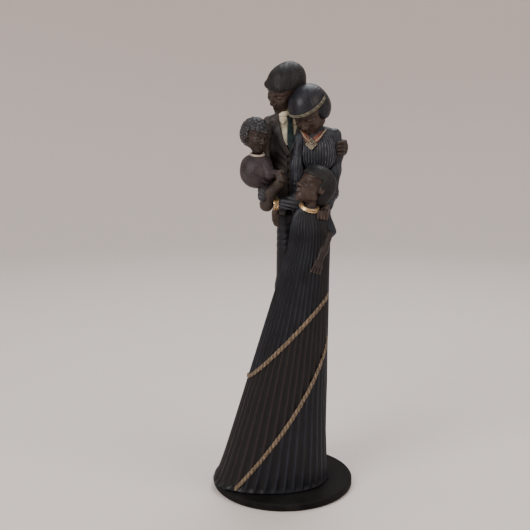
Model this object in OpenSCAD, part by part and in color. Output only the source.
// Family group statuette: four cast and painted figures on one round base.
// Origin: centre of the underside of the felt. +X is the viewer's right, +Y is behind, +Z is up.

/* [Base] */
// Diameter of the round base
base_d = 127; // [124:1:134]
// Height of the base above its felt
base_h = 6; // [5:0.5:7]
// Bevel around the top edge of the base
base_bevel = 1.6; // [1:0.2:2.4]
// Thickness of the felt under the base
felt_t = 1; // [0.8:0.2:1.2]
// Distance from the edge of the felt to the edge of the base
felt_inset = 1.5; // [1:0.5:4]
// Shank diameter of the three assembly screws
screw_d = 3.5; // [3:0.5:4]
// Height that a screw reaches into its casting
screw_reach = 14; // [10:1:18]

/* [Gown] */
// Width of the hem
hem_w = 105; // [100:1:107]
// Depth of the hem, front to back
hem_d = 78; // [74:1:80]
// Sideways slope of the left edge, mm per mm of height
gown_lean = 0.3; // [0.29:0.005:0.31]
// Extra flare at the very bottom of the left edge
hem_flare = 3; // [2:0.5:4]
// How much fuller the hem is at the front left than an ellipse
hem_fullness = 0.06; // [0:0.01:0.07]
// Number of pleats around the gown
pleats = 37; // [30:1:40]
// Depth of a pleat
pleat_depth = 1.2; // [0.8:0.1:1.4]
// Width of the two rope bands across the gown
band_w = 3.5; // [2:0.1:4]
// How far the bands stand out from the pleats
band_t = 0.9; // [0.6:0.1:1.2]

/* [Heads] */
// Height of the father's head without its hair
father_head_h = 41; // [39:0.5:42]
// Height of the mother's head without its hair
mother_head_h = 39; // [37:0.5:40]
// Height of the daughter's head without its hair
daughter_head_h = 33; // [31:0.5:34]
// Height of the toddler's head without its hair
toddler_head_h = 27; // [25:0.5:28]
// Thickness of the hair over the skull
hair_t = 1.4; // [1:0.1:1.8]
// Diameter of the locating peg under each neck
neck_peg_d = 5; // [4:0.5:5.5]

/* [Hidden] */

gap = 0.15;              // clearance of a peg in its socket
soft_n = 12;             // facets of the balls that a limb is drawn from
fine_n = 8;              // facets of fingers and trim
head_n = 16;             // facets of heads and hair

base_top = felt_t + base_h;
hem_z = base_top;
gown_top_z = 228;
gown_right_hem = 41;
gown_right_top = 38;
gown_front_hem = -45;
gown_front_top = -37;
gown_back_top = -9;

// Places of the joints between the pieces, viewer's left to right
father_neck = [1, 5, 331];
father_shoulder_r = [-12, 9, 325.5];
father_shoulder_l = [22, 12, 325];
father_elbow_r = [-15, -9, 256.5];
father_wrist_r = [-4.5, -22, 275.5];
father_elbow_l = [41, 17, 306];
father_waist = [8, 8, 252];
mother_neck = [24, -2, 318];
mother_shoulder_r = [14, -4, 313];
mother_shoulder_l = [43.5, 1, 315.5];
mother_elbow_r = [13, -11, 263];
mother_wrist_r = [-4, -12, 258];
mother_elbow_l = [42, -3, 266];
mother_wrist_l = [37, -17, 256];
mother_waist = [31, 4, 262];
toddler_neck = [-22, -14, 300];
toddler_belly = [-23.2, -14, 284.6];
toddler_shoulder = [-17, -21, 291];
toddler_wrist = [-7, -24, 284];
daughter_neck = [21, -26, 256];
daughter_shoulder_l = [34, -23, 248];
daughter_elbow_l = [38.5, -19, 235];
daughter_wrist_l = [28, -32, 212];

screw_spots = [[-34, -6], [-2, 26], [28, 24]];

// ---- shared shapes -------------------------------------------------------

function mix(a, b, t) = a + (b - a) * t;

module ball(at, r, n = soft_n) {
  translate(at) sphere(r, $fn = n);
}

module egg(at, size, turn = [0, 0, 0], n = soft_n) {
  translate(at) rotate(turn) scale(size / 2) sphere(1, $fn = n);
}

// A limb is a run of balls, each given as [place, radius].
module limb(run, n = soft_n) {
  for (i = [0 : len(run) - 2]) {
    hull() {
      ball(run[i][0], run[i][1], n);
      ball(run[i + 1][0], run[i + 1][1], n);
    }
  }
}

// Keeps the mesh of a freely modelled piece in one closed surface.
module cast() {
  resize([0, 0, 0]) children();
}

// ---- lofted cloth ----------------------------------------------------------

// Each cloth has an outline [left, right, front, back, fullness] at a height z.
function gown_outline(z) =
  let (t = (z - hem_z) / (gown_top_z - hem_z),
    flare = hem_flare * exp(-(z - hem_z) / 10),
    left = gown_right_hem - hem_w + hem_flare + gown_lean * (z - hem_z) - flare)
  [left, mix(gown_right_hem, gown_right_top, min(1, t * 3)) + flare * 0.3,
    mix(gown_front_hem, gown_front_top, t) - flare * 0.3,
    mix(gown_front_hem + hem_d, gown_back_top, t),
    hem_fullness * max(0, 1 - (z - hem_z) / 110)];

function skirt_outline(z) =
  let (t = (z - hem_z) / (mother_waist[2] - hem_z))
  [mix(12, 19, t), mix(40.5, 42, t), mix(-8, -5, t), mix(39, 15, t), 0];

// One ring of the cloth: every second point lies at the bottom of a pleat.
function ring(box, z, n, depth, grow) =
  let (cx = (box[0] + box[1]) / 2, cy = (box[2] + box[3]) / 2,
    rx = (box[1] - box[0]) / 2 + grow, ry = (box[3] - box[2]) / 2 + grow)
  [for (i = [0 : n - 1])
    let (a = 360 * i / n, d = (i % 2) * depth,
      corner = 2 * max(0, -cos(a)) * max(0, -sin(a)),
      full = 1 + box[4] * corner * corner)
    [cx + (rx - d) * full * cos(a), cy + (ry - d) * full * sin(a), z]];

module loft(rings) {
  n = len(rings[0]);
  m = len(rings);
  sides = [for (k = [0 : m - 2], i = [0 : n - 1], half = [0, 1])
    let (j = (i + 1) % n)
    half == 0 ? [k * n + i, (k + 1) * n + i, k * n + j]
      : [k * n + j, (k + 1) * n + i, (k + 1) * n + j]];
  bottom = [[for (i = [0 : n - 1]) i]];
  top = [[for (i = [n - 1 : -1 : 0]) (m - 1) * n + i]];
  polyhedron([for (r = rings, p = r) p], concat(bottom, top, sides));
}

gown_heights = [hem_z, hem_z + 4, hem_z + 10, hem_z + 20, 60, 100, 140, 180, gown_top_z];
skirt_heights = [hem_z, 80, 160, 225, mother_waist[2]];

// The gown below the chest. Pleats start a little above the hem.
module gown_cloth(n, depth, grow) {
  loft([for (z = gown_heights)
    ring(gown_outline(z), z, n, z < hem_z + 5 ? 0 : depth, grow)]);
}

// A plain stand-in of the gown, just outside its pleats, for cutting neighbours.
module gown_clear() {
  side_n = 30;
  proud = 57 * (1 / cos(180 / side_n) - 1) + gap;
  gown_cloth(side_n, 0, proud);
  gown_chest();
}

module gown_chest() {
  hull() {
    translate([0, 0, gown_top_z - 0.1]) linear_extrude(0.1)
      polygon([for (p = ring(gown_outline(gown_top_z), 0, 28, 0, -0.05)) [p[0], p[1]]]);
    egg([19, -24, 243], [27, 22, 18]);
  }
  hull() {
    egg([19, -24, 243], [27, 22, 18]);
    egg([21, -25, 251], [19, 15, 8]);
  }
}

// ---- heads and hair --------------------------------------------------------

// A head in its own frame: the face looks along -Y and the crown points up +Z.
module head_form(h) {
  hull() {
    egg([0, 0.05 * h, 0.14 * h], [0.72, 0.84, 0.7] * h, n = head_n);
    egg([0, -0.13 * h, -0.2 * h], [0.52, 0.52, 0.58] * h, n = head_n);
  }
}

module hair_form(h, reach_back, brow) {
  difference() {
    hull() {
      egg([0, 0.05 * h, 0.14 * h], [0.72, 0.84, 0.7] * h + [2, 2, 2] * hair_t, n = head_n);
      egg([0, 0.2 * h, -0.08 * h], [0.62, 0.5, reach_back] * h, n = head_n);
    }
    // the open side of the face, under the hair line
    translate([0, 0.1 * h, brow * h]) rotate([-10, 0, 0]) translate([-h, -2 * h, -2 * h])
      cube([2 * h, 2 * h, 2 * h]);
  }
}

father_head_at = [1.5, 1, 355.5];
father_head_turn = [28, 16, -42];
mother_head_at = [20.8, -6, 336];
mother_head_turn = [42, -4, -36];
daughter_head_at = [25, -26.5, 273.5];
daughter_head_turn = [-26, 4, -66];
toddler_head_at = [-24, -16, 315.5];
toddler_head_turn = [16, 4, 40];

module placed(at, turn) {
  translate(at) rotate(turn) children();
}

// A neck with its locating peg, standing in the shoulders at the given place.
module neck(at, to, r) {
  hull() {
    ball(at, r);
    ball(to, r);
  }
  neck_peg(at, 0);
}

module neck_peg(at, play) {
  translate(at - [0, 0, 11 + play]) cylinder(d = neck_peg_d + 2 * play, h = 11 + play, $fn = 20);
}

module father_head_form() {
  placed(father_head_at, father_head_turn) head_form(father_head_h);
  neck(father_neck, father_head_at + [1, 5, -14], 6.5);
}

module father_hair_form() {
  placed(father_head_at, father_head_turn) hair_form(father_head_h, 0.8, 0.2);
}

module mother_head_form() {
  placed(mother_head_at, mother_head_turn) head_form(mother_head_h);
  neck(mother_neck, mother_head_at + [2, 3, -13], 5.5);
}

module mother_hair_form() {
  placed(mother_head_at, mother_head_turn) {
    hair_form(mother_head_h, 0.9, 0.18);
    egg([0, 0.24 * mother_head_h, 0], [0.86, 0.6, 0.9] * mother_head_h, n = head_n);
  }
}

module mother_headband_form() {
  grown = mother_head_h;
  placed(mother_head_at, mother_head_turn) intersection() {
    egg([0, 0.05 * grown, 0.14 * grown], [0.72, 0.84, 0.7] * grown
      + [2, 2, 2] * (hair_t + 1), n = 28);
    rotate([-12, 0, 0]) translate([-grown, -grown, 0.16 * grown]) cube([2 * grown, 0.98 * grown, 2.4]);
  }
}

module daughter_head_form() {
  placed(daughter_head_at, daughter_head_turn) head_form(daughter_head_h);
  neck(daughter_neck, daughter_head_at + [0, 1, -9], 5);
}

module daughter_hair_form() {
  placed(daughter_head_at, daughter_head_turn) {
    hair_form(daughter_head_h, 0.9, 0.2);
    egg([0, 0.28 * daughter_head_h, 0.02 * daughter_head_h],
      [0.8, 0.56, 0.86] * daughter_head_h, n = head_n);
  }
}

module toddler_head_form() {
  placed(toddler_head_at, toddler_head_turn) head_form(toddler_head_h);
  neck(toddler_neck, toddler_head_at + [0, 1, -8], 4.5);
}

module toddler_hair_form() {
  placed(toddler_head_at, toddler_head_turn) {
    hair_form(toddler_head_h, 0.8, 0.2);
    egg([0, 0.22 * toddler_head_h, 0], [0.8, 0.62, 0.8] * toddler_head_h, n = head_n);
  }
}

// ---- base ------------------------------------------------------------------

module base() {
  color("#1d1b1c") difference() {
    translate([0, 0, felt_t]) rotate_extrude($fn = 128) polygon([[0, 0], [base_d / 2, 0],
      [base_d / 2, base_h - base_bevel], [base_d / 2 - base_bevel, base_h], [0, base_h]]);
    for (p = screw_spots) {
      translate([p[0], p[1], 0]) screw_hole();
    }
  }
}

// A countersunk hole that the screw fills without play under its head.
module screw_hole() {
  translate([0, 0, felt_t - 1]) cylinder(d = screw_d + 2 * gap, h = base_h + 2, $fn = 32);
  translate([0, 0, felt_t - 0.01]) cylinder(d1 = 2 * screw_d + 2 * gap, d2 = screw_d,
    h = screw_d / 2 + 2 * gap, $fn = 32);
}

module base_felt() {
  color("#2a2d2a") cylinder(d = base_d - 2 * felt_inset, h = felt_t, $fn = 96);
}

module screw(play) {
  translate([0, 0, felt_t]) {
    cylinder(d1 = 2 * screw_d, d2 = screw_d, h = screw_d / 2, $fn = 32);
    translate([0, 0, screw_d / 2]) cylinder(d = screw_d + 2 * play,
      h = base_h - screw_d / 2 + screw_reach + play, $fn = 32);
  }
}

module base_screws() {
  color("#b8a46a") for (p = screw_spots) {
    translate([p[0], p[1], 0]) screw(0);
  }
}

module screw_sockets() {
  for (p = screw_spots) {
    translate([p[0], p[1], 0]) screw(gap);
  }
}

// ---- clothes from the waist down ---------------------------------------------

module trouser_legs() {
  for (side = [0, 1]) {
    x = side * 13.5;
    limb([[[3.2 + x, 9, 240], 9], [[2.6 + x, 14, 180], 9], [[0.5 + x, 21, 90], 9.2],
      [[-2 + x, 27, hem_z + 3], 9.8]]);
  }
}

module father_trousers_form() {
  trouser_legs();
  hull() {
    ball([3.2, 9, 240], 9);
    ball([16.7, 9, 240], 9);
  }
}

module father_trousers() {
  color("#23242c") cast() difference() {
    father_trousers_form();
    translate([-100, -100, -200 + hem_z]) cube(200);
    translate(father_waist + [0, 0, -8]) cylinder(d = 8 + 2 * gap, h = 20, $fn = 24);
    father_jacket_form();
    mother_right_hand_form();
    mother_right_sleeve_form();
    screw_sockets();
  }
}

module skirt_cloth() {
  loft([for (z = skirt_heights) ring(skirt_outline(z), z, 44, z < hem_z + 5 ? 0 : 0.9, 0)]);
}

module mother_skirt() {
  color("#26283a") cast() difference() {
    skirt_cloth();
    gown_clear();
    father_trousers_form();
    translate(mother_waist + [0, 0, -8]) cylinder(d = 8 + 2 * gap, h = 20, $fn = 24);
    mother_left_sleeve_form();
    daughter_left_sleeve_form();
    screw_sockets();
  }
}

module gown() {
  color("#262a33") cast() difference() {
    union() {
      gown_cloth(2 * pleats, pleat_depth, 0);
      gown_chest();
    }
    father_trousers_form();
    neck_peg(daughter_neck, gap);
    daughter_head_form();
    daughter_collar_form();
    daughter_left_sleeve_form();
    daughter_left_forearm_form();
    screw_sockets();
  }
}

// A rope band is the slice of a slightly larger gown that lies in a tilted slab.
module gown_band(at, tilt, back) {
  color("#8d7655") cast() difference() {
    intersection() {
      gown_cloth(48, 0, band_t);
      translate(at) rotate(tilt) translate([-120, -90, -band_w / 2]) cube([240, 90 - back, band_w]);
    }
    gown_cloth(2 * pleats, pleat_depth, 0);
    father_trousers_form();
    skirt_cloth();
    daughter_left_forearm_form();
  }
}

module gown_band_upper() {
  gown_band([0, 0, 139], [0, -47, 0], 6);
}

module gown_band_lower() {
  gown_band([0, 0, 106.8], [30.5, -53.7, 0], 20);
}

// ---- the father ----------------------------------------------------------------

module father_jacket_form() {
  hull() {
    ball(father_shoulder_r, 6.6);
    ball(father_shoulder_l, 6.6);
    egg([4, 7, 305], [36, 25, 24]);
  }
  hull() {
    egg([4, 7, 305], [36, 25, 24]);
    egg([6.5, 8, 270], [36, 23, 18]);
  }
  hull() {
    egg([6.5, 8, 270], [36, 23, 18]);
    egg([10, 8.5, 252], [33, 25, 9]);
  }
}

shirt_slope = 14;        // lean of the shirt front, degrees

module shirt_plate(outline, depth, front) {
  translate([2, front, 323]) rotate([90 - shirt_slope, 0, 0])
    linear_extrude(depth) polygon(outline);
}

module father_shirt_form() {
  shirt_plate([[-8.5, 13], [8, 13], [9, 3], [7.5, -5], [2.5, -12], [-3, -12], [-6.5, 0]], 5, 1);
}

module father_tie_form() {
  shirt_plate([[-1.6, 12], [2, 12], [2.6, 9], [3.4, -14], [0.6, -19], [-2, -14], [-1, 9]], 1.6, -4.1);
}

module father_jacket() {
  color("#4a4242") cast() difference() {
    union() {
      father_jacket_form();
      translate(father_waist + [0, 0, -7.8]) cylinder(d = 8, h = 12, $fn = 24);
    }
    neck_peg(father_neck, gap);
    father_head_form();
    father_shirt_form();
    father_tie_form();
    father_right_sleeve_form();
    father_right_hand_form();
    mother_bodice_form();
    mother_head_form();
    mother_hair_form();
    mother_right_sleeve_form();
    mother_right_hand_form();
    mother_bracelet_form();
    mother_skirt_top();
    toddler_head_form();
    toddler_hair_form();
    toddler_sweater_form();
  }
}

module mother_skirt_top() {
  loft([for (z = [225, mother_waist[2] + 3]) ring(skirt_outline(z), z, 24, 0, gap)]);
}

module father_shirt() {
  color("#e4ddc0") cast() difference() {
    father_shirt_form();
    father_tie_form();
    father_head_form();
    mother_head_form();
    mother_hair_form();
    mother_headband_form();
    mother_bodice_form();
  }
}

module father_tie() {
  color("#1a2226") cast() difference() {
    father_tie_form();
    father_head_form();
    mother_head_form();
    mother_hair_form();
    mother_headband_form();
    mother_bodice_form();
  }
}

module father_head() {
  color("#5a4638") cast() father_head_form();
}

module father_hair() {
  color("#332f36") cast() difference() {
    father_hair_form();
    father_head_form();
    mother_hair_form();
    mother_headband_form();
  }
}

module father_right_sleeve_form() {
  limb([[father_shoulder_r, 7.1], [[-17, 6, 296], 6], [father_elbow_r, 5.2], [[-12, -15.5, 267], 4.7],
    [father_wrist_r, 4.4]]);
}

module father_right_sleeve() {
  color("#4a4242") cast() difference() {
    father_right_sleeve_form();
    father_right_hand_form();
    toddler_head_form();
    toddler_hair_form();
    toddler_sweater_form();
    toddler_trousers_form();
    father_head_form();
    mother_bracelet_form();
    mother_right_hand_form();
    mother_right_sleeve_form();
  }
}

module father_right_hand_form() {
  limb([[father_wrist_r, 3.2], [[-1.2, -24, 280], 4.1], [[-5.6, -27, 284], 2.6]]);
}

module father_right_hand() {
  color("#5a4638") cast() difference() {
    father_right_hand_form();
    toddler_sweater_form();
    toddler_sleeve_form();
    toddler_hand_form();
  }
}

module father_left_sleeve_form() {
  limb([[father_shoulder_l, 6.4], [father_elbow_l, 6], [[50, 8, 306], 5]]);
}

module father_left_sleeve() {
  color("#4a4242") cast() difference() {
    father_left_sleeve_form();
    father_jacket_form();
    mother_bodice_form();
    mother_hair_form();
    mother_left_sleeve_form();
    father_left_hand_form();
  }
}

module father_left_hand_form() {
  limb([[[50.5, 6, 307], 4.4], [[52.5, -1, 305.5], 4.4], [[49, -7.5, 303], 3]]);
}

module father_left_hand() {
  color("#3a302c") cast() difference() {
    father_left_hand_form();
    mother_bodice_form();
    mother_left_sleeve_form();
  }
}

// ---- the mother ----------------------------------------------------------------

module mother_bodice_form() {
  hull() {
    ball(mother_shoulder_r, 5.5);
    ball(mother_shoulder_l, 5.5);
    egg([29, -4, 296], [34, 22, 20]);
  }
  hull() {
    egg([29, -4, 296], [34, 22, 20]);
    egg(mother_waist + [-1, -1, 5], [26, 20, 10]);
  }
}

module mother_bodice() {
  color("#343848") cast() difference() {
    union() {
      difference() {
        mother_bodice_form();
        translate([-100, -100, -200 + mother_waist[2]]) cube(200);
      }
      translate(mother_waist + [0, 0, -7.8]) cylinder(d = 8, h = 12, $fn = 24);
    }
    neck_peg(mother_neck, gap);
    mother_head_form();
    mother_hair_form();
    mother_necklace_form();
    mother_right_sleeve_form();
    mother_left_sleeve_form();
    daughter_head_form();
    daughter_hair_form();
    mother_left_hand_form();
  }
}

module mother_head() {
  color("#5a4638") cast() difference() {
    mother_head_form();
    father_head_form();
    father_hair_form();
  }
}

module mother_hair() {
  color("#2c2f3c") cast() difference() {
    mother_hair_form();
    mother_head_form();
    mother_headband_form();
    father_head_form();
  }
}

module mother_headband() {
  color("#9c957c") cast() difference() {
    mother_headband_form();
    mother_head_form();
    father_head_form();
  }
}

// The collar is a V of two flat arms with a small diamond where they meet.
module mother_necklace_form() {
  collar_tip = [21.5, -16.5, 306];
  limb([[[13.5, -6, 318.5], 1.4], [collar_tip, 1.6], [[34.5, -5, 318.5], 1.4]], fine_n);
  limb([[[15.5, -10, 314], 1.4], [[26, -15, 309], 1.4]], fine_n);
}

module mother_necklace() {
  color("#a5643c") cast() difference() {
    mother_necklace_form();
    mother_head_form();
    mother_hair_form();
  }
}

module mother_right_sleeve_form() {
  limb([[mother_shoulder_r, 6.1], [[10.8, -6.5, 290], 4.8], [mother_elbow_r, 5.6], [mother_wrist_r, 4.8]]);
}

module mother_right_sleeve() {
  color("#3a3f4e") cast() difference() {
    mother_right_sleeve_form();
    mother_bracelet_form();
    mother_right_hand_form();
    mother_head_form();
    mother_hair_form();
    mother_necklace_form();
    daughter_head_form();
    daughter_hair_form();
    father_tie_form();
    father_right_hand_form();
    toddler_hand_form();
    gown_chest();
  }
}

module mother_bracelet_form() {
  translate([-6.6, -12, 257]) rotate([0, 90, 0]) cylinder(d = 10.4, h = 4.4, center = true, $fn = 32);
  translate([-6.6, -17, 256.6]) rotate([90, 0, 0]) cylinder(d = 4, h = 2.4, center = true, $fn = 32);
}

module mother_bracelet() {
  color("#c9a04e") cast() difference() {
    mother_bracelet_form();
    mother_right_hand_form();
  }
}

module mother_right_hand_form() {
  limb([[[-6.6, -12, 258], 3.2], [[-6.4, -11, 247], 3.7], [[-4.6, -9, 237], 2.6]]);
}

module mother_right_hand() {
  color("#5a4638") cast() mother_right_hand_form();
}

module mother_left_sleeve_form() {
  limb([[mother_shoulder_l, 6.4], [[45.5, 1, 300], 6], [[44, 0, 285], 5.4], [mother_elbow_l, 5],
    [mother_wrist_l, 4]]);
}

module mother_left_sleeve() {
  color("#343848") cast() difference() {
    mother_left_sleeve_form();
    mother_hair_form();
    mother_head_form();
    mother_necklace_form();
    mother_left_hand_form();
    daughter_hair_form();
    daughter_left_sleeve_form();
    gown_chest();
  }
}

module mother_left_hand_form() {
  limb([[mother_wrist_l, 3.2], [[33.5, -26, 253.5], 3.4], [[31, -31.5, 249], 2.2]]);
}

module mother_left_hand() {
  color("#5a4638") cast() difference() {
    mother_left_hand_form();
    gown_chest();
    daughter_hair_form();
    daughter_left_sleeve_form();
    daughter_collar_form();
  }
}

// ---- the toddler -----------------------------------------------------------------

module toddler_sweater_form() {
  hull() {
    egg(toddler_belly, [28, 27, 27]);
    egg(toddler_neck + [-0.7, 0, -5.2], [20, 16, 10]);
  }
}

module toddler_sweater() {
  color("#4d3f46") cast() difference() {
    toddler_sweater_form();
    neck_peg(toddler_neck, gap);
    toddler_head_form();
    toddler_collar_form();
    toddler_sleeve_form();
    toddler_hand_form();
    toddler_trousers_form();
  }
}

module toddler_sleeve_form() {
  limb([[toddler_shoulder, 4.4], [[-13, -25, 284], 3.9], [toddler_wrist, 3.3]]);
}

module toddler_sleeve() {
  color("#4d3f46") cast() difference() {
    toddler_sleeve_form();
    toddler_hand_form();
    toddler_head_form();
  }
}

module toddler_hand_form() {
  limb([[toddler_wrist, 2.2], [toddler_wrist + [4.5, -1, 1.5], 2]], fine_n);
}

module toddler_hand() {
  color("#5a4638") cast() toddler_hand_form();
}

module toddler_trousers_form() {
  limb([[[-17, -13, 274], 5], [[-18, -15, 264], 4.4]]);
}

module toddler_trousers() {
  color("#565a68") cast() toddler_trousers_form();
}

module toddler_collar_form() {
  translate(toddler_neck + [0.5, -1, -0.6]) rotate([12, 4, 0]) cylinder(d1 = 13.5, d2 = 11.5,
    h = 2.4, center = true, $fn = 28);
}

module toddler_collar() {
  color("#d9cdbf") cast() difference() {
    toddler_collar_form();
    toddler_head_form();
    toddler_hair_form();
  }
}

module toddler_head() {
  color("#5a4638") cast() toddler_head_form();
}

module toddler_hair() {
  color("#30353f") cast() difference() {
    toddler_hair_form();
    toddler_head_form();
  }
}

// ---- the daughter ------------------------------------------------------------------

module daughter_head() {
  color("#6a5140") cast() difference() {
    daughter_head_form();
  }
}

module daughter_hair() {
  color("#2d3033") cast() difference() {
    daughter_hair_form();
    daughter_head_form();
    mother_left_hand_form();
  }
}

module daughter_collar_form() {
  translate(daughter_neck + [0.3, -2, 1]) rotate([20, 20, -10]) cylinder(d1 = 17.4, d2 = 15,
    h = 2.8, center = true, $fn = 32);
}

module daughter_collar() {
  color("#c99a55") cast() difference() {
    daughter_collar_form();
    daughter_head_form();
    daughter_hair_form();
    neck_peg(daughter_neck, gap);
  }
}

module daughter_left_sleeve_form() {
  limb([[daughter_shoulder_l, 5.4], [daughter_elbow_l, 6]]);
}

module daughter_left_sleeve() {
  color("#2c302f") cast() difference() {
    daughter_left_sleeve_form();
    daughter_left_forearm_form();
    daughter_hair_form();
    daughter_collar_form();
  }
}

module daughter_left_forearm_form() {
  limb([[daughter_elbow_l + [-2.5, -4.5, -3], 5], [daughter_wrist_l + [1.5, -1, 2], 3.9],
    [daughter_wrist_l + [-3, -4.5, -8.5], 2.6]]);
}

module daughter_left_forearm() {
  color("#5a4638") cast() daughter_left_forearm_form();
}

base();
base_felt();
base_screws();
gown();
gown_band_upper();
gown_band_lower();
father_trousers();
mother_skirt();
father_jacket();
father_shirt();
father_tie();
father_head();
father_hair();
father_right_sleeve();
father_right_hand();
father_left_sleeve();
father_left_hand();
mother_bodice();
mother_head();
mother_hair();
mother_headband();
mother_necklace();
mother_right_sleeve();
mother_bracelet();
mother_right_hand();
mother_left_sleeve();
mother_left_hand();
toddler_sweater();
toddler_sleeve();
toddler_hand();
toddler_trousers();
toddler_collar();
toddler_head();
toddler_hair();
daughter_head();
daughter_hair();
daughter_collar();
daughter_left_sleeve();
daughter_left_forearm();
